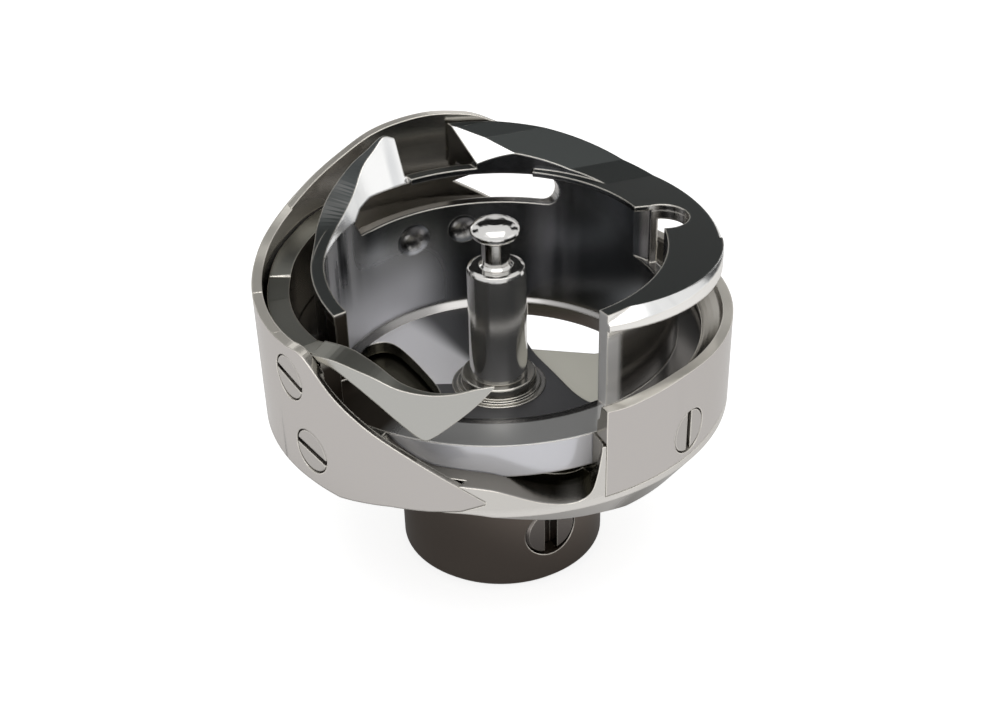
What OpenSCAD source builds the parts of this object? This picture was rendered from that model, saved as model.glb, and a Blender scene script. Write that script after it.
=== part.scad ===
// Rotary hook for an industrial lockstitch machine, standing on its hub.
// Units are millimetres, +Z up. The origin is the middle of the hub's lower face.
// Azimuths are degrees from +X, counter-clockwise seen from the open side.

/* [Hub] */
// Radius of the shaft bore
bore_r = 3.97; // [3.5:0.01:4.4]
// Outer radius of the hub
hub_r = 7.95; // [7:0.05:8.6]
// Height of the set screws above the hub's lower face
set_screw_z = 4.7; // [4:0.1:6.5]
// Radius of the set screws
set_screw_r = 2.15; // [1.5:0.05:2.3]

/* [Hook body] */
// Height of the web's upper face
web_z = 12.4; // [11.9:0.1:12.5]
// Thickness of the web between hub and ring
web_t = 1.4; // [1:0.1:2]
// Inner radius of the race groove
race_r = 15.7; // [15.5:0.01:15.8]
// Height of the race groove's lower face
race_z = 16.3; // [16.1:0.05:16.5]
// Height of the race groove's upper face
race_top = 18.95; // [18.8:0.05:19.2]
// Outer radius of the body's wall where the gib covers it
seat_r = 16.7; // [16.6:0.01:16.8]
// Outer radius of the whole hook
hook_r = 17.5; // [17.4:0.05:17.8]
// Inner radius of the ledge and the beak
ledge_r = 15.1; // [14.9:0.05:15.25]

/* [Gib] */
// Clearance between the gib and its seat on the body
gib_gap = 0.05; // [0.03:0.01:0.1]
// Height of the rim at the front right
gib_front_z = 21.8; // [21.2:0.1:22.4]
// Height of the rim at the back right
gib_back_z = 20.7; // [20.3:0.1:21]
// Height of the hump at the back
hump_z = 29.1; // [28.2:0.1:29.6]
// Height of the rim at the left
gib_left_z = 24.0; // [23.8:0.1:24.3]
// Radius of the gib screws' heads
gib_screw_r = 1.65; // [1.4:0.05:1.75]
// Radius of the gib screws' shanks
gib_shank_r = 1.0; // [0.8:0.05:1.1]

/* [Bobbin case holder] */
// Radius of the pocket for the bobbin case
pocket_r = 12.4; // [12.2:0.05:12.6]
// Outer radius of the pocket's wall
wall_r = 13.35; // [13.2:0.05:13.6]
// Height of the floor's upper face
floor_z = 13.7; // [13.5:0.05:14]
// Thickness of the floor
floor_t = 1.0; // [0.8:0.05:1.1]
// Clearance of the race rib in its groove
run_gap = 0.08; // [0.05:0.01:0.1]
// Height of the flange's level part
flange_z = 26.0; // [25.7:0.1:26.4]
// Thickness of the flange
flange_t = 1.2; // [1:0.05:1.3]
// Outer radius of the flange
flange_r = 16.35; // [15.9:0.05:16.4]
// Rise of the flange towards the back
flange_rise = 2.5; // [2:0.1:2.8]
// Height of the finger
finger_z = 29.0; // [28.2:0.1:29.6]
// Lower edge of the long slot through the wall
slot_z = 23.0; // [22.6:0.1:23.3]
// Width of the long slot through the wall
slot_w = 2.5; // [2:0.1:2.6]

/* [Centre stud] */
// Radius of the stud
stud_r = 2.2; // [2:0.05:2.35]
// Height of the stud's shoulder
stud_z = 24.0; // [23:0.1:24.5]
// Radius of the shank that is riveted through the washer and the floor
shank_r = 1.6; // [1.2:0.05:1.8]
// Height of the washer
washer_h = 1.1; // [0.9:0.05:1.3]
// Radius of the stud's neck
neck_r = 1.05; // [0.9:0.05:1.3]
// Radius of the stud's head
head_r = 1.86; // [1.6:0.02:2]
// Half the thickness of the stud's head
head_h = 0.84; // [0.7:0.02:0.95]
// Height of the middle of the stud's head
head_z = 26.8; // [26.4:0.1:27.2]

/* [Hidden] */
$fn = 128;
eps = 0.01;
web_bottom = web_z - web_t;
hook_shift = [-0.2, -0.1];        // centre of the outer turning, off the race's axis
skirt_z = 14.8;                   // upper end of the cone under the ring
skirt_foot = [15.4, 11.4];        // radius and height of the cone's lower edge
ledge_from = 140;
gib_in_r = seat_r + gib_gap;
gib_from = -66.6;
gib_foot = 14.85;                 // lower edge of the gib at the right
left_foot = 13.65;                // and at the left
rib_r = race_r - run_gap;
rib_z = race_z + run_gap;
rib_top = race_top - run_gap;
set_screw_az = [-62, 58, 178];
wing_end = -57;                   // azimuth where the flange and the wall end in front
stud_gap = 0.02;

// Point of a wall of radius r, seen square on at azimuth mid.
function on_wall(r, mid, p) = [r * sin(p[0] - mid), p[1]];
function wall_line(r, mid, line) = [for (p = line) on_wall(r, mid, p)];

// Smooth line through key points.
function ctrl(p, i) = p[max(0, min(len(p) - 1, i))];
function along(p, i, t) = let (a = ctrl(p, i - 1), b = ctrl(p, i), c = ctrl(p, i + 1), d = ctrl(p, i + 2))
    0.5 * (2 * b + (c - a) * t + (2 * a - 5 * b + 4 * c - d) * t * t + (3 * b - a - 3 * c + d) * t * t * t);
function smooth(p, n = 5) = concat(
    [for (i = [0 : len(p) - 2], k = [0 : n - 1]) along(p, i, k / n)], [p[len(p) - 1]]);

// Prism that runs out along the radius at one azimuth. Its outline is given across and up.
module radial_prism(az, from, to, outline)
    rotate([0, 0, az]) translate([from, 0, 0]) rotate([90, 0, 90])
        linear_extrude(to - from) polygon(outline);

// What lies above, or below, a line drawn on a wall.
module above(az, r, line, from = 10, to = 24, top = 40)
    let (w = wall_line(r, az, line))
        radial_prism(az, from, to, concat(w, [[w[len(w) - 1][0], top], [w[0][0], top]]));

module below(az, r, line, from = 10, to = 24, foot = 0) above(az, r, line, from, to, foot);

// Upright wedge between two azimuths less than 180 degrees apart.
module wedge(a, b, r = 30, z0 = 0, z1 = 40)
    translate([0, 0, z0]) linear_extrude(z1 - z0)
        polygon(concat([[0, 0]], [for (i = [0 : 6]) r * [cos(a + (b - a) * i / 6), sin(a + (b - a) * i / 6)]]));

module ring(ri, ro, z0, z1)
    translate([0, 0, z0]) rotate_extrude() translate([ri, 0]) square([ro - ri, z1 - z0]);

// Cylinder that lies along the radius at one azimuth and height.
module spoke(az, z, r, from, to)
    rotate([0, 0, az]) translate([from, 0, z]) rotate([0, 90, 0]) cylinder(r = r, h = to - from);

// ---- Screws -------------------------------------------------------------------------------------

gib_screws = [[-143.7, 21.4, 15.4, -12], [-137.5, 16.25, 15.85, -12], [-41.6, 16.9, 15.85, 90]];
head_t = 0.6;                     // height of a gib screw's head
screw_gap = 0.04;

// Distance from the race's axis to the outside of the hook at an azimuth.
function skin_r(az) = hook_shift * [cos(az), sin(az)] + sqrt(pow(hook_r, 2)
    - pow(hook_shift * [-sin(az), cos(az)], 2));

module gib_screw(s) {
    face = skin_r(s[0]) - 0.06;
    color("Gainsboro") difference() {
        union() {
            spoke(s[0], s[1], gib_shank_r, s[2], face - head_t + eps);
            intersection() {
                spoke(s[0], s[1], gib_screw_r, face - head_t, face);
                rotate([0, 0, s[0]]) translate([face - 4, 0, s[1]]) rotate([0, 90, 0])
                    cylinder(r1 = gib_screw_r + 3.9, r2 = gib_screw_r - 0.12, h = 4.0);
            }
        }
        rotate([0, 0, s[0]]) translate([face - 0.45, 0, s[1]]) rotate([s[3], 0, 0])
            translate([0, -3, -0.24]) cube([2, 6, 0.48]);
    }
}

module gib_screw_holes(gap, head) {
    for (s = gib_screws) {
        spoke(s[0], s[1], gib_shank_r + gap, 14.5, 19);
        if (head) spoke(s[0], s[1], gib_screw_r + gap, skin_r(s[0]) - 0.06 - head_t - gap, 19.5);
    }
}

module set_screw(az) {
    color("DimGray") difference() {
        rotate([0, 0, az]) translate([0, 0, set_screw_z]) rotate([0, 90, 0]) rotate_extrude()
            polygon([[0, bore_r + 0.15], [set_screw_r - 0.5, bore_r + 0.15], [set_screw_r - screw_gap, bore_r + 0.6],
                [set_screw_r - screw_gap, hub_r - 0.35], [set_screw_r - 0.25, hub_r - 0.15], [0, hub_r - 0.15]]);
        rotate([0, 0, az]) translate([hub_r - 1.25, -0.55, set_screw_z - 3]) cube([3, 1.1, 6]);
    }
}

// ---- Hook body ----------------------------------------------------------------------------------

body_outer = [[0, 0], [hub_r - 0.4, 0], [hub_r, 0.4], [hub_r, web_bottom - 0.7],
    [hub_r + 0.2, web_bottom - 0.2], [hub_r + 0.7, web_bottom], [skirt_foot[0] - 1.4, web_bottom],
    [skirt_foot[0] - 0.3, skirt_foot[1] - 0.3], skirt_foot, [hook_r + 0.3, skirt_z]];

module hook_skin(r = hook_r)
    translate([hook_shift[0], hook_shift[1], 0]) cylinder(r = r, h = 40);

// Turned blank: hub, web and the ring with its race groove.
module body_blank()
    intersection() {
        rotate_extrude() polygon(concat(body_outer, [[hook_r + 0.3, race_top],
            [race_r, race_top], [race_r, race_z], [14, race_z], [14, web_z + 0.6], [13.4, web_z], [0, web_z]]));
        hook_skin();
    }

// Seat of the gib, milled round the outside of the ring.
module gib_seat()
    difference() {
        union() {
            intersection() {
                wedge(gib_from - 0.15, 62, 30, gib_foot - gib_gap);
                translate([0, 0, gib_foot - gib_gap]) cylinder(r = 24, h = 20);
            }
            above(110, hook_r, [[60, gib_foot - gib_gap], [90, 14.5], [120, 14.0], [150, left_foot - gib_gap],
                [160, left_foot + 0.5]]);
            above(182, hook_r, [[140, left_foot + 0.5], [148.5, left_foot - gib_gap], [212, left_foot - gib_gap],
                [218, left_foot + 0.5]]);
            radial_prism(240, 8, 24, concat(wall_line(hook_r, 240, [for (p = tail_top) [p[0], p[1] + gib_gap]]),
                wall_line(hook_r, 240, [for (i = [len(tail_low) - 1 : -1 : 1]) [tail_low[i][0], tail_low[i][1] - gib_gap]]),
                [on_wall(hook_r, 240, [207, left_foot - 0.03]), on_wall(hook_r, 240, [204.5, left_foot + 0.5]),
                on_wall(hook_r, 240, [204.5, 30])]));
        }
        hook_skin(seat_r);
    }

// Ledge over the race at the left, which runs on as the beak across the front.
beak_top = smooth([[216, 23.25], [222, 23.7], [230, 24.2], [240, 24.0], [247, 23.5], [254, 23.4],
    [260, 23.65], [265, 24.1], [269.2, 24.35]]);
beak_low = smooth([[269.2, 24.2], [265, 22.8], [260, 21.4], [255, 20.1], [252.3, 19.85], [247, 20.9],
    [241, 22.1], [235, 23.0], [229, 23.55], [222, 23.4]]);
ledge_top = smooth([[138, 24.15], [150, 24.05], [160, 23.75], [170, 23.6], [179, 23.22]]);
ledge_to = 225;

module ledge() {
    intersection() {
        ring(ledge_r, seat_r, race_top, 26);
        union() {
            intersection() {
                below(160, seat_r, ledge_top, 10, 24, 10);
                wedge(ledge_from, 178.5);
            }
            intersection() {
                wedge(178, 217);
                below(197, seat_r, [[170, 23.3], [180, 23.2], [190, 23.0], [217, 23.25]], 10, 24, 9);
            }
            intersection() {
                wedge(216, ledge_to);
                below(223, seat_r, [for (p = beak_top) if (p[0] < 234) p], 10, 24, 8);
            }
        }
    }
    beak();
}

// Pointed blade, thinned towards its tip from the inside.
beak_inside = smooth([[229, ledge_r - 0.1], [237, 15.35], [243, 15.8], [249, 16.2], [255, 16.45], [262, 16.6],
    [270, 16.72]]);

module beak()
    difference() {
        intersection() {
            ring(ledge_r, 16.95, race_top, 26);
            hook_skin(seat_r);
            radial_prism(246, 10, 24, wall_line(16.6, 246, concat([for (p = beak_top) if (p[0] >= 222) p], beak_low)));
        }
        translate([0, 0, race_top - 1]) linear_extrude(10) polygon(concat([for (p = beak_inside)
            p[1] * [cos(p[0]), sin(p[0])]], [[3, -10], [-8, -8]]));
    }

// Front window, down to its curved sill.
window_sill = smooth([[240, 19.2], [244, 18.75], [250, 17.6], [255, 17.1], [259.5, 17.0], [263, 16.9], [266, 16.8],
    [270, 16.5], [279, 15.4], [285.5, 15.0], [289.5, 15.4], [291.2, 16.7], [292.3, 18.6]]);

module window_cut()
    intersection() {
        above(268, hook_r, concat([[240, 24]], window_sill, [[292.3, 24]]), 11, 24);
        wedge(241, 293);
        ring(race_r - 1.4, 20, 14, 30);
    }

// Scallop under the front, which leaves a strip below the window.
scallop_line = smooth([[222, 13.3], [231, 13.6], [238, 14.05], [245, 14.45], [254, 14.68], [262, 14.75], [268, 14.5],
    [275, 13.86], [281, 13.2], [287, 12.7], [292, 12.3], [297, 11.6], [301, 10.8]]);

module scallop_cut()
    difference() {
        below(261, hook_r, scallop_line, 5, 24, 9);
        cylinder(r = 12.7, h = 30);
    }

// Opening through the web and the foot of the ring at the back right.
module web_opening()
    difference() {
        translate([0, 0, web_bottom - 1.5]) linear_extrude(skirt_z - 0.3 - web_bottom + 1.5) polygon(concat(
            [[-1.2, 8.6], [1.5, 7.2], [2.9, 6.8], [7.75, 5.9], [9.6, 6.3]],
            [for (a = [36 : 6 : 96]) 22 * [cos(a), sin(a)]]));
        cylinder(r = hub_r + 0.3, h = web_z - 0.6);
    }

module hook_body() {
    color("Silver") difference() {
        union() {
            difference() {
                body_blank();
                window_cut();
            }
            ledge();
        }
        gib_seat();
        scallop_cut();
        web_opening();
        translate([0, 0, -1]) cylinder(r = bore_r, h = web_z + 2);
        translate([0, 0, -eps]) cylinder(r1 = bore_r + 0.3, r2 = bore_r, h = 0.3);
        for (az = set_screw_az) spoke(az, set_screw_z, set_screw_r, 2, hub_r + 1);
        gib_screw_holes(screw_gap, false);
    }
}

// ---- Gib ----------------------------------------------------------------------------------------

right_rim = smooth([[-69, 21.75], [-62, 21.58], [-55, gib_front_z - 0.1], [-44, gib_front_z + 0.05], [-34, gib_front_z - 0.1],
    [-20, 21.45], [-5, 21.15], [12, gib_back_z + 0.18], [26, gib_back_z + 0.04], [40, gib_back_z]]);
tongue_low = smooth([[84.5, 25.0], [90, 24.4], [96, 23.7], [102.5, 23.1]]);
hump_top = smooth([[84.5, 27.2], [90, 28.0], [95, 28.65], [100, hump_z - 0.15], [108, hump_z + 0.05], [117, hump_z - 0.15],
    [125, 28.5], [133.6, 27.6], [143, 26.7], [153, 25.8], [162, 25.2], [170, 24.8], [180, gib_left_z + 0.3],
    [192, gib_left_z]]);
tail_top = smooth([[208, gib_left_z - 0.1], [216, 23.95], [221, 24.1], [225, 23.5], [232, 21.75], [240, 20.3],
    [250, 18.8], [260.6, 16.95], [266.6, 15.75]]);
tail_low = [[170, left_foot], [222, left_foot + 0.01], [231, 13.6], [238, 14.0], [245, 14.4], [254, 14.65], [261, 14.95], [266.6, 15.6]];

module gib_wall()
    difference() {
        hook_skin();
        hook_skin(gib_in_r);
    }

// Lip that roofs the race. Its upper side is hollow.
module gib_lip()
    rotate_extrude() polygon(concat([[hook_r + 1, 22.4], [hook_r + 1, race_top + gib_gap], [ledge_r + 0.05, race_top + gib_gap]],
        [for (a = [0 : 15 : 75]) [gib_in_r + 0.1 - 1.75 * cos(a), 21.3 - 1.8 * cos(a - 12)]], [[gib_in_r + 0.1, 22.4]]));

module gib_section()
    intersection() {
        union() {
            gib_wall();
            gib_lip();
        }
        hook_skin();
    }

module gib_right()
    intersection() {
        gib_section();
        wedge(gib_from, 38, 30, gib_foot);
        radial_prism(-15, 10, 24, concat([[hook_r * sin(-69 + 15), 10]], wall_line(hook_r, -15, right_rim),
            [[hook_r * sin(40 + 15), 10]]));
    }

module gib_back() {
    intersection() {
        gib_section();
        wedge(37, 92, 30, 14, gib_back_z);
        above(75, hook_r, [[30, gib_foot + 0.01], [60, gib_foot + 0.01], [95, 14.5]], 10, 24, 30);
    }
    // Slant that leads up under the hump.
    intersection() {
        gib_section();
        wedge(88, 139.8);
        radial_prism(115, 10, 24, concat(wall_line(hook_r, 115, [[86, gib_back_z], [90, gib_back_z + 0.12], [93, 21.4],
            [97.5, 22.2], [102.5, 23.1], [104, 26], [141, 26]]),
            wall_line(hook_r, 115, [[141, 14.2], [120, 14.15], [104, 14.34], [90, 14.55], [86, 14.6]])));
    }
}

module gib_hump()
    intersection() {
        gib_wall();
        wedge(84.5, 191);
        union() {
            radial_prism(120, 8, 24, concat(wall_line(hook_r, 120, tongue_low), wall_line(hook_r, 120,
                [[102.6, 14.3], [120, 14.05], [150, left_foot], [156, left_foot + 0.3]]),
                wall_line(hook_r, 120, [for (i = [len(hump_top) - 1 : -1 : 0]) if (hump_top[i][0] < 156) hump_top[i]])));
            radial_prism(170, 8, 24, concat(wall_line(hook_r, 170, [for (p = hump_top) if (p[0] > 150) p]),
                wall_line(hook_r, 170, [[192, left_foot + 0.01], [150, left_foot + 0.01]])));
        }
    }

module gib_left()
    intersection() {
        gib_wall();
        wedge(190, 210, 30, left_foot + 0.02);
        above(200, hook_r, [[185, gib_left_z], [195, gib_left_z], [205, gib_left_z - 0.09], [212, gib_left_z - 0.08]], 10, 24, 10);
    }

// Pointed tail across the front, thinned behind its upper edge so that thread can pass.
module gib_tail()
    difference() {
        intersection() {
            gib_wall();
            wedge(209, 267);
            radial_prism(240, 8, 24, concat(wall_line(hook_r, 240, tail_top),
                wall_line(hook_r, 240, [for (i = [len(tail_low) - 1 : -1 : 1]) tail_low[i]]),
                [on_wall(hook_r, 240, [208, left_foot + 0.01])]));
        }
        intersection() {
            hook_skin(hook_r - 0.42);
            wedge(227, 270);
            above(245, hook_r, [for (p = tail_top) if (p[0] > 222) [p[0], p[1] - 1.6]], 8, 24);
        }
    }

module hook_gib() {
    color("LightGray") difference() {
        union() {
            gib_right();
            gib_back();
            gib_hump();
            gib_left();
            gib_tail();
        }
        gib_screw_holes(screw_gap, true);
    }
}

// ---- Bobbin case holder -------------------------------------------------------------------------

// Cup, race rib and wall before its front is opened.
module holder_cup()
    rotate_extrude() polygon([[0, floor_z - floor_t], [wall_r - 0.4, floor_z - floor_t], [wall_r, floor_z - floor_t + 0.4],
        [wall_r, rib_z], [rib_r, rib_z], [rib_r, rib_top], [wall_r, rib_top], [wall_r, flange_z],
        [pocket_r, flange_z], [pocket_r, floor_z + 0.5], [pocket_r - 0.5, floor_z], [0, floor_z]]);

// Level disc with a small chamfer on its upper edge.
module flange_disc(r, t)
    translate([0, 0, -t]) rotate_extrude() polygon([[0, 0], [r, 0], [r, t - 0.2], [r - 0.2, t], [0, t]]);

// The wing in front is rounded to its own circle, with a chamfer that widens towards its end.
wing_r = 11.1;
wing_centre = [flange_r - wing_r, -0.5];

module flange_level()
    intersection() {
        union() {
            intersection() {
                translate([wing_centre[0], wing_centre[1], 0]) cylinder(r = wing_r, h = 40);
                translate([wing_centre[0] + 0.52, wing_centre[1] + 0.71, flange_z - 3])
                    cylinder(r1 = wing_r + 4.05, r2 = wing_r - 0.45, h = 3);
                translate([-20, -20 + wing_centre[1], flange_z - flange_t]) cube([40, 20, 10]);
            }
            intersection() {
                translate([0, 0, flange_z]) flange_disc(flange_r, flange_t);
                translate([-20, wing_centre[1] - eps, 0]) cube([40, 30, 40]);
            }
        }
        wedge(wing_end, 110);
    }

// Part of the raised flange between two folds, a disc tilted about the folds.
module flange_piece(a, b) {
    tilt = atan2(b[1] - a[1], a[0] - b[0]);
    run = norm(a - b);
    centre = (run * run + a[0] * a[0] - b[0] * b[0]) / (2 * run);
    intersection() {
        translate([a[0], 0, a[1]]) rotate([0, tilt, 0]) translate([-centre, 0, 0])
            flange_disc(sqrt(flange_r * flange_r - a[0] * a[0] + centre * centre), 5);
        translate([b[0], -20, flange_z - flange_t]) cube([a[0] - b[0] + eps, 40, 10]);
    }
}

fold = [[-5.4, 0], [-8.2, 0.16], [-13.25, 0.785], [-15.2, 0.96], [-16.15, 1]];
fold_az = -70;

module flange_ramp()
    intersection() {
        rotate([0, 0, fold_az]) for (i = [0 : len(fold) - 2])
            flange_piece([fold[i][0], flange_z + flange_rise * fold[i][1]],
                [fold[i + 1][0], flange_z + flange_rise * fold[i + 1][1]]);
        wedge(10, 106);
        cylinder(r = flange_r + 0.03, h = 40);
    }

// Sections of the finger and of the ledge that tapers off to its left:
// azimuth, height inside, outer radius, height outside.
finger_keys = [[122.3, -0.07, 14.6, -0.2], [126, -0.03, 14.8, 0.1], [131, -0.40, 15, -0.7], [136, -1.05, 15.2, -1.4],
    [143, -2.57, 15.2, -2.4], [150, -3.37, 14.9, -3.1], [160, -3.85, 14.3, -4], [172, -4.15, 13.6, -4.3],
    [190, -4.35, 13.4, -4.4], [214.5, -4.80, 13.4, -4.8]];

// Solid through a row of sections that all have four corners.
module loft(sections) {
    n = len(sections);
    last = 4 * n - 4;
    polyhedron([for (s = sections, p = s) p], concat([[0, 1, 2], [0, 2, 3]],
        [for (i = [0 : n - 2], k = [0 : 3]) [4 * i + 4 + (k + 1) % 4, 4 * i + (k + 1) % 4, 4 * i + k]],
        [for (i = [0 : n - 2], k = [0 : 3]) [4 * i + 4 + k, 4 * i + 4 + (k + 1) % 4, 4 * i + k]],
        [[last + 2, last + 1, last], [last + 3, last + 2, last]]));
}

module finger()
    loft([for (k = smooth(finger_keys, 6)) let (c = [cos(k[0]), sin(k[0])], ri = pocket_r - 0.1,
            foot = min(24.45, finger_z + k[3] - 0.75))
        [[c[0] * ri, c[1] * ri, foot], [c[0] * ri, c[1] * ri, finger_z + k[1]],
        [c[0] * k[2], c[1] * k[2], finger_z + k[3]], [c[0] * k[2], c[1] * k[2], foot]]]);

// Open front of the cup, down to the rib.
module open_front()
    intersection() {
        ring(5, 16.3, rib_top, 40);
        union() {
            wedge(213, 258);
            wedge(257, 360 + wing_end);
        }
    }

// What is taken off the wall at the left, where the tapering ledge tops it.
module left_top()
    intersection() {
        above(178, pocket_r, [[141, 25.6], [150, 25.2], [172, 24.8], [230, 24.1]], 5, 20);
        wedge(141, 215);
    }

// Long slot through the wall below the flange, round at its right end and slanting at its left.
module wall_slot() {
    reach = asin(slot_w / 2 / pocket_r);
    radial_prism(106, 8, 15.2, wall_line(pocket_r, 106, concat([[140, slot_z], [146.5, slot_z + 0.1],
        [150, slot_z + 1.4], [146, slot_z + slot_w - 0.4], [140, slot_z + slot_w]],
        [for (a = [90 : -15 : -90]) [71 - reach * cos(a), slot_z + slot_w / 2 * (1 + sin(a))]])));
}

// Notch in the flange that keeps the holder from turning, with the slot in the wall below it.
module notch() {
    translate([0, 0, 25.5]) linear_extrude(10) union() {
        translate([12.45, 3.15]) circle(r = 1.95);
        polygon([[9, 4.45], [10.6, 4.75], [11.5, 4.9], [12.45, 3.15], [11.9, 1.6], [11.4, 2.3], [9, 2.3]]);
    }
    translate([0, 0, 21.1]) linear_extrude(4.5) union() {
        translate([12.45, 3.15]) circle(r = 1.93);
        polygon([[9, 5.6], [10.5, 6.5], [11.7, 5.3], [12.5, 3.1], [12.2, 1.6], [9, 2.1]]);
    }
}

// Mouth of the pocket, a little smaller than the pocket and off its middle.
module mouth_lip()
    intersection() {
        difference() {
            translate([0, 0, flange_z - 0.4]) cylinder(r = pocket_r + 0.2, h = 0.4);
            translate([-0.55, -0.15, 0]) cylinder(r = pocket_r - 0.3, h = 40);
        }
        wedge(18, 75);
    }

// Slanting face above the pocket, at the raised end of the flange.
module funnel()
    translate([-1.51, 12.31, flange_z + 0.35]) rotate([0, 0, -18.3]) rotate([42.5, 0, 0])
        translate([-12, -9, 0]) cube([36, 24, 8]);

// Conical mouth inside the finger and the ledge to its left.
module mouth_cone()
    intersection() {
        translate([0, 0, 24.55]) cylinder(r1 = pocket_r, r2 = pocket_r + 2.6, h = 5.5);
        wedge(121.5, 218, 30, 20);
    }

// Back end of the raised flange, cut slanting across the wall.
module flange_end()
    intersection() {
        difference() {
            translate([0, 0, 20]) linear_extrude(12) polygon([[-3.64, 15.8], [-1.3, 12.3], [-1.2, 9], [-8, 9],
                [-9, 16], [-5, 18]]);
            cylinder(r = wall_r, h = flange_z);
        }
        wedge(88, 121.9);
    }

left_window = smooth([[-11.3, 3.4], [-10.5, 5.7], [-9.2, 6.4], [-7.9, 5.5], [-5.9, 2.1], [-4.5, -1.2], [-4.6, -4.4],
    [-6.1, -7.2], [-8.2, -7.9], [-10.3, -5.6], [-11.4, -2.6], [-11.5, 1], [-11.3, 3.4]], 4);

module floor_windows() {
    translate([0, 0, floor_z - 3]) linear_extrude(4) polygon(left_window);
    intersection() {
        cylinder(r = pocket_r - 0.3, h = 20);
        translate([0, 0, floor_z - 3]) linear_extrude(4) polygon(smooth([[8, 12.5], [4.5, 13], [2.3, 11.5], [2.0, 8],
            [2.7, 4.6], [4.3, 1.2], [5.9, -2.0], [7.4, -3.3], [9.3, -2.8], [11, 0], [12.5, 4], [11, 9], [8, 12.5]], 4));
    }
}

// Round dimple in the pocket's wall.
module dimple(az, z, r, depth = 0.45)
    let (ball = (r * r + depth * depth) / (2 * depth))
        rotate([0, 0, az]) translate([pocket_r + depth - ball, 0, z]) sphere(r = ball, $fn = 64);

module bobbin_case_holder() {
    color("SlateGray") difference() {
        union() {
            difference() {
                holder_cup();
                left_top();
            }
            difference() {
                union() {
                    flange_level();
                    flange_ramp();
                    finger();
                }
                translate([0, 0, 10]) cylinder(r = pocket_r, h = 30);
            }
            mouth_lip();
        }
        open_front();
        flange_end();
        mouth_cone();
        intersection() {
            funnel();
            wedge(60, 112, 30, flange_z + 0.1);
        }
        wall_slot();
        notch();
        floor_windows();
        // Seat for the stud.
        translate([0, 0, floor_z - floor_t - 1]) cylinder(r = shank_r + stud_gap, h = floor_t + 2);
        dimple(122, 20.7, 1.35);
        dimple(102, 20.8, 1.2);
    }
}

// ---- Stud and washer ----------------------------------------------------------------------------

washer_r = stud_r + 1.4;
collar_r = stud_r + 0.66;         // upper step of the washer
stud_foot = floor_z - floor_t + 0.05;
stud_seat = floor_z + washer_h + stud_gap;

module centre_stud()
    color("Gray") rotate_extrude() union() {
        polygon([[0, stud_foot], [shank_r - 0.1, stud_foot], [shank_r, stud_foot + 0.1], [shank_r, stud_seat],
            [stud_r, stud_seat], [stud_r, stud_z - 0.35], [stud_r - 0.1, stud_z - 0.1], [stud_r - 0.35, stud_z],
            [neck_r + 0.2, stud_z], [neck_r, stud_z + 0.2], [neck_r, head_z], [0, head_z]]);
        polygon(concat([[0, head_z - head_h]],
            [for (a = [-70 : 10 : 70]) [head_r * (0.12 + 0.88 * cos(a)), head_z + head_h * sin(a)]],
            [[0, head_z + head_h]]));
    }

module stud_washer()
    color("Silver") translate([0, 0, floor_z]) rotate_extrude() polygon([[shank_r + stud_gap, 0], [washer_r, 0],
        [washer_r, 0.1], [stud_r + 1, 0.12], [stud_r + 1, 0.3], [collar_r, 0.32], [collar_r, washer_h - 0.1],
        [collar_r - 0.1, washer_h], [shank_r + stud_gap, washer_h]]);

hook_body();
hook_gib();
gib_screw(gib_screws[0]);  // gib_screw_upper
gib_screw(gib_screws[1]);  // gib_screw_lower
gib_screw(gib_screws[2]);  // gib_screw_right
set_screw(set_screw_az[0]);  // hub_set_screw_front
set_screw(set_screw_az[2]);  // hub_set_screw_left
set_screw(set_screw_az[1]);  // hub_set_screw_right
bobbin_case_holder();
centre_stud();
stud_washer();
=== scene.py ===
"""Looks of a rotary sewing hook: polished and ground steel in a white studio.

Lengths are metres, or millimetres where this script says so. Azimuths are degrees from +X,
counter-clockwise seen from above, and the camera stands at -90.
"""

import math

import bpy
from mathutils import Matrix, Vector

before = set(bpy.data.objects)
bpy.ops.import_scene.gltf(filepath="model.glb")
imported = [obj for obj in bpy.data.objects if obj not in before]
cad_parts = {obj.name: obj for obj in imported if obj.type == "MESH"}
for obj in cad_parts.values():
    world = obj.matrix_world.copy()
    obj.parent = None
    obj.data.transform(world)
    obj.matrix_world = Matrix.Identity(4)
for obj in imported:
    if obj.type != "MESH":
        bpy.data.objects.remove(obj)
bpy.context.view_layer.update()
MM = 0.001

# ---- Node helpers ------------------------------------------------------------------------------


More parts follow.
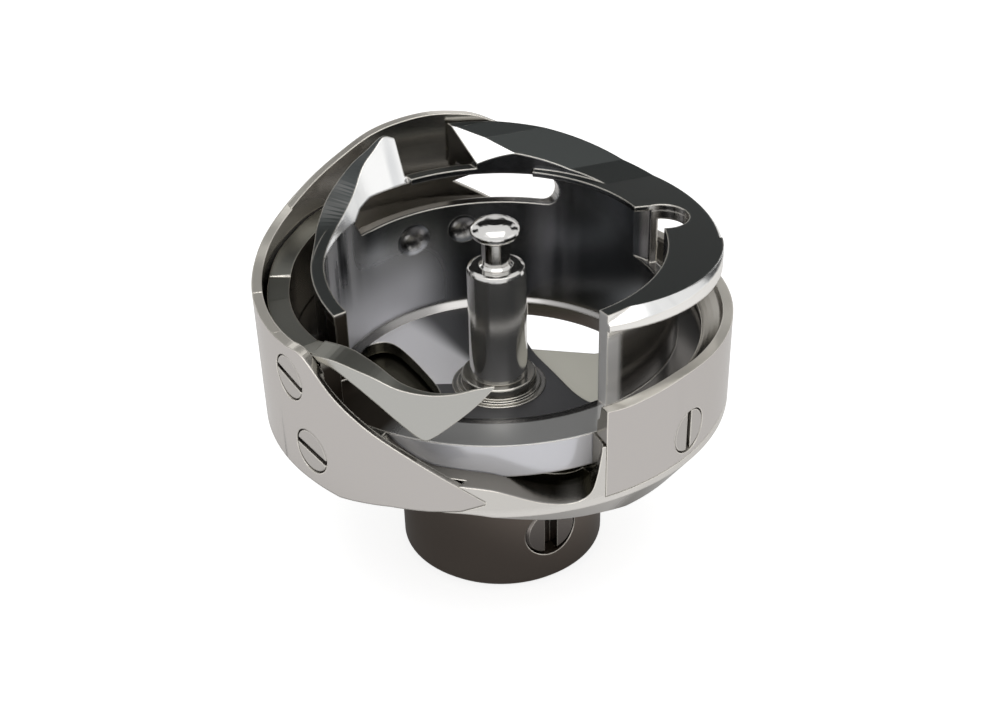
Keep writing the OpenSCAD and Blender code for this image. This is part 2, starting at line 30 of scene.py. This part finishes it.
class Graph:
    """A node tree, with short calls for the nodes used here. A mask runs from 0 to 1."""

    def __init__(self, tree):
        self.tree = tree
        self.coord = None

    def node(self, kind, **settings):
        n = self.tree.nodes.new(kind)
        for key, value in settings.items():
            setattr(n, key, value)
        return n

    def feed(self, socket, value):
        """Links an output to the socket, or sets a plain value on it."""
        if isinstance(value, bpy.types.NodeSocket):
            self.tree.links.new(value, socket)
        else:
            socket.default_value = value

    def feed_colour(self, socket, value):
        """The same for an output or a colour of three numbers."""
        self.feed(socket, (*value, 1.0) if isinstance(value, tuple) else value)

    def math(self, operation, a, b=0.0):
        n = self.node("ShaderNodeMath", operation=operation)
        self.feed(n.inputs[0], a)
        self.feed(n.inputs[1], b)
        return n.outputs[0]

    def place(self):
        """Position in the piece's own frame, its x, y and z, and the normal's x, y and z."""
        if self.coord is None:
            coord = self.node("ShaderNodeTexCoord")
            position = self.node("ShaderNodeSeparateXYZ")
            self.feed(position.inputs[0], coord.outputs["Object"])
            normal = self.node("ShaderNodeSeparateXYZ")
            self.feed(normal.inputs[0], coord.outputs["Normal"])
            self.coord = (coord.outputs["Object"], position.outputs, normal.outputs)
        return self.coord

    def radius(self, cx=0.0, cy=0.0):
        """Distance from an upright axis."""
        _, p, _ = self.place()
        dx = self.math("SUBTRACT", p[0], cx)
        dy = self.math("SUBTRACT", p[1], cy)
        squares = self.math("MULTIPLY", dx, dx), self.math("MULTIPLY", dy, dy)
        return self.math("SQRT", self.math("ADD", *squares))

    def height(self):
        return self.place()[1][2]

    def azimuth(self):
        """Azimuth about the axis in degrees, from -180 to 180."""
        _, p, _ = self.place()
        return self.math("MULTIPLY", self.math("ARCTAN2", p[1], p[0]), 180 / math.pi)

    def rise(self):
        """How squarely the surface faces up: 1 up, -1 down."""
        return self.place()[2][2]

    def lean(self):
        """How squarely the surface faces away from the axis: 1 outwards, -1 inwards."""
        _, p, n = self.place()
        products = self.math("MULTIPLY", n[0], p[0]), self.math("MULTIPLY", n[1], p[1])
        return self.math("DIVIDE", self.math("ADD", *products), self.radius())

    def ramp(self, value, low, high):
        """0 below low, 1 above high, smooth between. With low above high it falls instead."""
        n = self.node("ShaderNodeMapRange", interpolation_type="SMOOTHSTEP")
        start, end = (0.0, 1.0) if low <= high else (1.0, 0.0)
        self.feed(n.inputs["Value"], value)
        self.feed(n.inputs["From Min"], min(low, high))
        self.feed(n.inputs["From Max"], max(low, high))
        self.feed(n.inputs["To Min"], start)
        self.feed(n.inputs["To Max"], end)
        return n.outputs["Result"]

    def band(self, value, low, high, soft):
        """1 between low and high."""
        rising = self.ramp(value, low - soft, low + soft)
        return self.math("MULTIPLY", rising, self.ramp(value, high + soft, high - soft))

    def both(self, *masks):
        """1 where all the masks are 1."""
        out = masks[0]
        for m in masks[1:]:
            out = self.math("MULTIPLY", out, m)
        return out

    def noise(self, vector, scale, stretch):
        spread = self.node("ShaderNodeVectorMath", operation="MULTIPLY")
        self.feed(spread.inputs[0], vector)
        spread.inputs[1].default_value = stretch
        n = self.node("ShaderNodeTexNoise")
        self.feed(n.inputs["Vector"], spread.outputs[0])
        n.inputs["Scale"].default_value = scale
        n.inputs["Detail"].default_value = 2.0
        return n.outputs[0]

    def polar(self):
        """Vector of azimuth in radians and height, for streaks round a turned surface."""
        _, p, _ = self.place()
        join = self.node("ShaderNodeCombineXYZ")
        self.feed(join.inputs[0], self.math("ARCTAN2", p[1], p[0]))
        self.feed(join.inputs[1], p[2])
        return join.outputs[0]

    def tint(self, mask, below, above):
        """The colour below where the mask is 0, and above where it is 1."""
        n = self.node("ShaderNodeMix", data_type="RGBA")
        self.feed(n.inputs["Factor"], mask)
        self.feed_colour(n.inputs[6], below)
        self.feed_colour(n.inputs[7], above)
        return n.outputs[2]

    def level(self, mask, below, above):
        """The same for numbers."""
        n = self.node("ShaderNodeMix", data_type="FLOAT")
        self.feed(n.inputs[0], mask)
        self.feed(n.inputs[2], below)
        self.feed(n.inputs[3], above)
        return n.outputs[0]


def new_material(name):
    """A material, the graph of its nodes, and its shader."""
    mat = bpy.data.materials.new(name)
    mat.use_nodes = True
    return mat, Graph(mat.node_tree), mat.node_tree.nodes["Principled BSDF"]


# ---- Masks -------------------------------------------------------------------------------------
# Each mask is a function of the graph. The numbers that make one are millimetres and degrees, and
# soft is half the width of its edge.

HOOK_CENTRE = (-0.2 * MM, -0.1 * MM)  # axis of the outer turning, a little off the race's
HOOK_R = 17.5 * MM


def higher(z, soft=0.3):
    return lambda g: g.ramp(g.height(), (z - soft) * MM, (z + soft) * MM)


def lower(z, soft=0.3):
    return lambda g: g.ramp(g.height(), (z + soft) * MM, (z - soft) * MM)


def outer(r, soft=0.1):
    return lambda g: g.ramp(g.radius(), (r - soft) * MM, (r + soft) * MM)


def inner(r, soft=0.1):
    return lambda g: g.ramp(g.radius(), (r + soft) * MM, (r - soft) * MM)


def between(a, b, soft=8.0):
    """Between two azimuths."""
    return lambda g: g.band(g.azimuth(), a, b, soft)


def past(a, soft):
    """From an azimuth on to 180."""
    return lambda g: g.ramp(g.azimuth(), a - soft, a + soft)


def zone(*masks):
    """Where all the masks hold."""
    return lambda g: g.both(*[m(g) for m in masks])


def streaks(low, high):
    """Soft upright streaks round a turned wall."""
    return lambda g: g.ramp(g.noise(g.polar(), 3.0, (2.2, 25.0, 1.0)), low, high)


def outside(g):
    """The ground outside of the hook."""
    return g.ramp(g.radius(*HOOK_CENTRE), HOOK_R - 0.25 * MM, HOOK_R - 0.05 * MM)


def facing_up(g):
    return g.ramp(g.rise(), 0.88, 0.96)


def slanting(g):
    """Tilted up, and neither level nor upright."""
    return g.both(g.ramp(g.rise(), 0.15, 0.30), g.ramp(g.rise(), 0.95, 0.88))


def upright(g):
    return g.ramp(g.math("ABSOLUTE", g.rise()), 0.45, 0.25)


def outward(g):
    return g.ramp(g.lean(), 0.5, 0.7)


def inward(g):
    return g.ramp(g.lean(), -0.6, -0.8)


def sideways(g):
    """Towards the axis or away from it, not along the flange."""
    return g.ramp(g.math("ABSOLUTE", g.lean()), 0.30, 0.42)


def rim(g):
    """The upper edge of the hook's outer wall."""
    return g.both(facing_up(g), g.ramp(g.radius(*HOOK_CENTRE), 16.6 * MM, 16.8 * MM))


# ---- Metals ------------------------------------------------------------------------------------

# Colour of the painted highlight along the edges.
EDGE_HIGHLIGHT_COLOUR = (0.92, 0.88, 0.80)
SPECULAR_TINT = (0.80, 0.79, 0.78, 1.0)
GRAIN_DEPTH = 0.02 * MM


def lathe_rings(g):
    """Fine rings left by the lathe."""
    return g.noise(g.place()[0], 900.0, (0.02, 0.02, 6.0))


def shade_hollows(g, colour, hollow_shade, reach):
    """Painted shade: the colour made darker where other surfaces are nearer than reach."""
    hollow = g.node("ShaderNodeAmbientOcclusion", samples=6)
    hollow.inputs["Distance"].default_value = reach
    shade = g.ramp(hollow.outputs["AO"], 0.0, 0.85)
    join = g.node("ShaderNodeCombineColor")
    for socket in join.inputs:
        g.feed(socket, shade)
    dark = g.node("ShaderNodeMix", data_type="RGBA", blend_type="MULTIPLY")
    dark.inputs["Factor"].default_value = hollow_shade
    g.feed_colour(dark.inputs[6], colour)
    g.feed(dark.inputs[7], join.outputs[0])
    return dark.outputs[2]


def edges(g, rounded):
    """Mask of the edges, where the rounded normal turns away from the true one."""
    turn = g.node("ShaderNodeVectorMath", operation="DOT_PRODUCT")
    g.feed(turn.inputs[0], rounded)
    g.feed(turn.inputs[1], g.node("ShaderNodeNewGeometry").outputs["True Normal"])
    return g.ramp(turn.outputs["Value"], 0.975, 0.86)


def steel(name, base, rough, zones=(), grain=0.0, edge=0.16 * MM, edge_highlight=0.9, hollow_shade=0.4,
          reach=2.0 * MM):
    """Metal that looks rounded along its edges, with a painted highlight along them and painted
    shade in its hollows.

    A zone is (mask, colour, roughness, metallic), and a later one lies over those before it.
    grain is the strength of the lathe's rings.
    """
    mat, g, shader = new_material(name)
    shader.inputs["Specular Tint"].default_value = SPECULAR_TINT
    colour, roughness, metallic = base, rough, 1.0
    for mask_of, zone_colour, zone_roughness, zone_metallic in zones:
        mask = mask_of(g)
        colour = g.tint(mask, colour, zone_colour)
        roughness = g.level(mask, roughness, zone_roughness)
        metallic = g.level(mask, metallic, zone_metallic)
    # Painted shade in the hollows.
    colour = shade_hollows(g, colour, hollow_shade, reach)

    bevel = g.node("ShaderNodeBevel", samples=6)
    bevel.inputs["Radius"].default_value = edge
    normal = bevel.outputs[0]
    # Painted highlight along the edges.
    colour = g.tint(g.math("MULTIPLY", edges(g, normal), edge_highlight), colour, EDGE_HIGHLIGHT_COLOUR)
    if grain:
        bump = g.node("ShaderNodeBump")
        bump.inputs["Strength"].default_value = grain
        bump.inputs["Distance"].default_value = GRAIN_DEPTH
        g.feed(bump.inputs["Height"], lathe_rings(g))
        g.feed(bump.inputs["Normal"], normal)
        normal = bump.outputs[0]

    g.feed(shader.inputs["Base Color"], colour)
    g.feed(shader.inputs["Roughness"], roughness)
    g.feed(shader.inputs["Metallic"], metallic)
    g.feed(shader.inputs["Normal"], normal)
    return mat


gib_steel = steel(
    "gib_steel", (0.42, 0.40, 0.36), 0.20,
    zones=[
        # Painted reflections: the wall's inside is brighter at the left and at the right.
        (zone(inward, between(128, 176)), (0.78, 0.74, 0.68), 0.22, 0.85),
        (zone(inward, between(-66, 30)), (0.70, 0.67, 0.62), 0.22, 0.85),
        (outside, (0.50, 0.475, 0.455), 0.27, 1.0),
        # Painted highlight on the rim.
        (rim, (0.90, 0.86, 0.78), 0.16, 0.5),
    ],
    grain=0.12,
)

RACE_FOOT = 16.2  # a little under the race groove
shade_below_race = zone(inner(15.5), lower(RACE_FOOT))
lit_web_at_right = zone(inner(15.0), facing_up, lower(RACE_FOOT), between(-30, 75, 6))
upper_wall = zone(outer(16.0), higher(19.2), outward)
lit_skirt_in_front = zone(outer(15.0), lower(14.9), between(-112, -60, 4))
hub = zone(inner(10.0, 0.5), lower(10.9))
top_faces = zone(facing_up, higher(22.0))
shade_in_body_slot = zone(inner(17.0), higher(18.5), lower(22.8), between(-152, -132, 1.5))

body_steel = steel(
    "body_steel", (0.34, 0.325, 0.29), 0.22,
    zones=[
        # Painted shade below the race.
        (shade_below_race, (0.10, 0.095, 0.07), 0.25, 1.0),
        # Painted light on the web at the right.
        (lit_web_at_right, (0.95, 0.93, 0.82), 0.40, 0.0),
        (upper_wall, (0.46, 0.455, 0.43), 0.25, 1.0),
        (outside, (0.60, 0.58, 0.55), 0.26, 1.0),
        # Painted reflection on the skirt in front.
        (lit_skirt_in_front, (0.85, 0.82, 0.78), 0.30, 0.5),
        (hub, (0.22, 0.185, 0.16), 0.30, 1.0),
        (top_faces, (0.30, 0.30, 0.27), 0.30, 1.0),
        # Painted shade in the thread slot.
        (shade_in_body_slot, (0.060, 0.050, 0.040), 0.40, 1.0),
    ],
    grain=0.15,
)

POCKET_EDGE = 12.6  # a little more than the pocket's radius
RIB_END = 20.0  # above the race rib
FLANGE_FROM = 23.8  # flange and finger have their own colours above this height
pocket_wall = zone(inner(POCKET_EDGE), higher(14.4))
pocket_floor = zone(inner(POCKET_EDGE), facing_up, lower(15.0))
lit_rib_edge = zone(outer(15.3), upright, lower(RIB_END), between(-120, -50, 5))
lit_rib_top = zone(outer(13.0), facing_up, higher(18.0), lower(RIB_END), between(-118, -50, 4))
shade_behind_beak = zone(outer(11.9), lower(RIB_END), between(-176, -119, 3))
shade_behind_slot = zone(outer(11.9), lower(24.2), between(-153, -139, 1.5))
lit_wall_end = zone(outer(12.2), inner(13.8), upright, higher(18.6), between(-62, -52, 1.5))
flange_top = zone(facing_up, higher(FLANGE_FROM))
flange_slopes = zone(slanting, higher(FLANGE_FROM))
lit_side_slopes = zone(slanting, higher(24.0), sideways)
lit_flange_edge = zone(outer(13.2), upright, higher(24.3), outward)

holder_steel = steel(
    "holder_steel", (0.40, 0.39, 0.38), 0.20,
    zones=[
        # Painted reflections and shade: the pocket's wall is dark, with lighter streaks at the
        # back and the left, and it is satin and painted light low at the back left. The floor is
        # dark, and satin and painted light at the left.
        (pocket_wall, (0.10, 0.105, 0.11), 0.22, 1.0),
        (zone(pocket_wall, between(60, 76, 5), streaks(0.2, 0.6)), (0.34, 0.34, 0.36), 0.25, 0.85),
        (zone(pocket_wall, past(150, 8), streaks(0.30, 0.60)), (0.86, 0.85, 0.86), 0.30, 0.5),
        (zone(pocket_wall, lower(19.5, 3.0), between(112, 172, 12)), (0.94, 0.94, 0.98), 0.35, 0.2),
        (pocket_floor, (0.16, 0.16, 0.165), 0.35, 0.8),
        (zone(pocket_floor, past(124, 7)), (0.94, 0.93, 0.95), 0.42, 0.3),
        # The race rib is polished and painted light where it lies open.
        (lit_rib_edge, (0.95, 0.95, 1.00), 0.16, 0.2),
        (lit_rib_top, (0.70, 0.70, 0.69), 0.20, 0.65),
        # Painted shade behind the beak and the thread slot.
        (shade_behind_beak, (0.045, 0.038, 0.030), 0.40, 1.0),
        (shade_behind_slot, (0.060, 0.050, 0.040), 0.40, 1.0),
        # Painted light on the end of the wall beside the open front.
        (lit_wall_end, (0.88, 0.87, 0.86), 0.25, 0.3),
        # Flange and finger are dark, with painted highlights where they slope inwards or outwards
        # and on the flange's outer edge.
        (flange_top, (0.085, 0.092, 0.090), 0.38, 1.0),
        (flange_slopes, (0.10, 0.108, 0.108), 0.45, 1.0),
        (lit_side_slopes, (0.97, 0.97, 0.96), 0.16, 0.9),
        (zone(lit_side_slopes, streaks(0.50, 0.72)), (0.66, 0.67, 0.68), 0.16, 0.9),
        (lit_flange_edge, (0.85, 0.83, 0.80), 0.18, 0.9),
    ],
    grain=0.08, edge=0.22 * MM, edge_highlight=0.7, hollow_shade=0.25,
)

stud_steel = steel(
    "stud_steel", (0.78, 0.77, 0.75), 0.12,
    zones=[(zone(outer(2.0), upright), (0.80, 0.79, 0.77), 0.14, 0.86)],
    grain=0.05,
)
washer_steel = steel("washer_steel", (0.45, 0.435, 0.40), 0.18)
# The screws get strong painted shade in their hollows.
screw_steel = steel("screw_steel", (0.44, 0.42, 0.40), 0.25, hollow_shade=0.9, reach=0.6 * MM)
set_screw_steel = steel("set_screw_steel", (0.24, 0.215, 0.20), 0.25, hollow_shade=0.9, reach=0.8 * MM)


def dress(node, mat):
    """Gives the material to every slot of a CAD node."""
    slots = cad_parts[node].data.materials
    if not slots:
        slots.append(mat)
    for i in range(len(slots)):
        slots[i] = mat


for node, mat in {
    "hook_body": body_steel,
    "hook_gib": gib_steel,
    "gib_screw_upper": screw_steel,
    "gib_screw_lower": screw_steel,
    "gib_screw_right": screw_steel,
    "hub_set_screw_front": set_screw_steel,
    "hub_set_screw_left": set_screw_steel,
    "hub_set_screw_right": set_screw_steel,
    "bobbin_case_holder": holder_steel,
    "centre_stud": stud_steel,
    "stud_washer": washer_steel,
}.items():
    dress(node, mat)

# ---- Studio ------------------------------------------------------------------------------------

FLOOR_SIZE = 1.2
FLOOR_GREY = 0.8
FLOOR_GLOW = 0.80
# Reflections see the floor darkened to SHADE_LEVEL about a point under the hook, and lighter from
# the first radius of SHADE_EDGE to the second.
SHADE_CENTRE = (-5 * MM, -2 * MM)
SHADE_EDGE = (11 * MM, 29 * MM)
SHADE_LEVEL = 0.20
WORLD_MIRRORED = 0.80
WORLD_LIGHT = 0.35
AIM = Vector((0, 0, 0.016))  # the point in the hook that lamps and cards face


def stage_mesh(name, corners, mat):
    """A flat face that isn't part of the object."""
    mesh = bpy.data.meshes.new(name)
    mesh.from_pydata(corners, [], [list(range(len(corners)))])
    mesh.materials.append(mat)
    obj = bpy.data.objects.new(name, mesh)
    bpy.context.scene.collection.objects.link(obj)
    return obj


def matt_material(name, grey):
    """A matt material, the graph of its nodes, and its shader."""
    mat, g, paint = new_material(name)
    paint.inputs["Base Color"].default_value = (grey, grey, grey, 1.0)
    paint.inputs["Roughness"].default_value = 1.0
    paint.inputs["Specular IOR Level"].default_value = 0.0
    return mat, g, paint


def floor_material():
    """White paper that the camera sees brighter, and reflections see darker near the hook."""
    mat, g, paint = matt_material("floor_white", FLOOR_GREY)
    path = g.node("ShaderNodeLightPath")
    glow = g.node("ShaderNodeEmission")
    glow.inputs["Strength"].default_value = FLOOR_GLOW
    add = g.node("ShaderNodeAddShader")
    g.feed(add.inputs[0], paint.outputs[0])
    g.feed(add.inputs[1], glow.outputs[0])
    seen = g.node("ShaderNodeMixShader")
    g.feed(seen.inputs[0], path.outputs["Is Camera Ray"])
    g.feed(seen.inputs[1], paint.outputs[0])
    g.feed(seen.inputs[2], add.outputs[0])
    mirrored = g.node("ShaderNodeEmission")
    away = g.ramp(g.radius(*SHADE_CENTRE), *SHADE_EDGE)
    g.feed(mirrored.inputs["Strength"], g.level(away, SHADE_LEVEL, 1.0))
    pick = g.node("ShaderNodeMixShader")
    g.feed(pick.inputs[0], path.outputs["Is Glossy Ray"])
    g.feed(pick.inputs[1], seen.outputs[0])
    g.feed(pick.inputs[2], mirrored.outputs[0])
    g.feed(mat.node_tree.nodes["Material Output"].inputs["Surface"], pick.outputs[0])
    return mat


def rectangle(width, height):
    """Corners of a rectangle about the origin, in the plane of X and Y."""
    w, h = width / 2, height / 2
    return [Vector(c) for c in ((-w, -h, 0), (w, -h, 0), (w, h, 0), (-w, h, 0))]


def around(azimuth, elevation, distance):
    """A point at that distance from AIM, and the rotation that turns an object's -Z to AIM."""
    a, e = math.radians(azimuth), math.radians(elevation)
    away = Vector((math.cos(e) * math.cos(a), math.cos(e) * math.sin(a), math.sin(e)))
    point = AIM + distance * away
    return point, (AIM - point).to_track_quat("-Z", "Y").to_euler()


def softbox(name, azimuth, elevation, distance, size, radiance):
    """Rectangular lamp whose face has the radiance given."""
    light = bpy.data.lights.new(name, "AREA")
    light.shape = "RECTANGLE"
    light.size, light.size_y = size
    light.energy = radiance * math.pi * size[0] * size[1]
    obj = bpy.data.objects.new(name, light)
    obj.location, obj.rotation_euler = around(azimuth, elevation, distance)
    bpy.context.scene.collection.objects.link(obj)


def card(name, azimuth, elevation, distance, size, grey):
    """Flat card that only reflections see."""
    centre, rotation = around(azimuth, elevation, distance)
    turn = rotation.to_matrix()
    corners = [centre + turn @ c for c in rectangle(*size)]
    obj = stage_mesh(name, corners, matt_material(name, grey)[0])
    obj.visible_camera = False
    obj.visible_shadow = False
    obj.visible_diffuse = False


stage_mesh("floor", rectangle(FLOOR_SIZE, FLOOR_SIZE), floor_material())

world = bpy.data.worlds.new("studio")
bpy.context.scene.world = world
world.use_nodes = True
wg = Graph(world.node_tree)
sky = world.node_tree.nodes["Background"]
sky.inputs["Color"].default_value = (1.0, 1.0, 1.0, 1.0)
path = wg.node("ShaderNodeLightPath")
unseen = wg.level(path.outputs["Is Glossy Ray"], WORLD_LIGHT, WORLD_MIRRORED)
wg.feed(sky.inputs["Strength"], wg.level(path.outputs["Is Camera Ray"], unseen, 1.0))

# Name, azimuth, elevation and distance, then width and height, and how bright.
softbox("key", -80, 74, 0.42, (0.40, 0.32), 1.3)
softbox("fill", -139, 50, 0.45, (0.16, 0.22), 0.20)
softbox("side", -18, 13, 0.45, (0.27, 0.19), 0.25)
card("dark_back", 90, 36, 0.50, (0.50, 0.22), 0.02)
card("dark_left", 150, 25, 0.50, (0.16, 0.30), 0.03)
card("dark_right", 40, 30, 0.50, (0.14, 0.30), 0.03)

# ---- Camera ------------------------------------------------------------------------------------

EYE = Vector((0.0, -0.0932213, 0.074528))
TARGET = Vector((0.0001166, 0.0, 0.0159199))
ROLL = -0.0249  # radians
FOCAL_PX = 1450.0  # pixels of a picture that is PHOTO_WIDTH wide
PHOTO_WIDTH = 1000

forward = (TARGET - EYE).normalized()
right = forward.cross(Vector((0, 0, 1))).normalized()
up = right.cross(forward)
across = right * math.cos(ROLL) + up * math.sin(ROLL)
above = -right * math.sin(ROLL) + up * math.cos(ROLL)
lens = bpy.data.cameras.new("camera")
lens.sensor_width = 36.0
lens.lens = FOCAL_PX / PHOTO_WIDTH * lens.sensor_width
lens.clip_start = 0.005
camera = bpy.data.objects.new("camera", lens)
camera.matrix_world = Matrix((
    (across.x, above.x, -forward.x, EYE.x),
    (across.y, above.y, -forward.y, EYE.y),
    (across.z, above.z, -forward.z, EYE.z),
    (0, 0, 0, 1),
))
bpy.context.scene.collection.objects.link(camera)
bpy.context.scene.camera = camera
bpy.context.scene.view_settings.view_transform = "Standard"
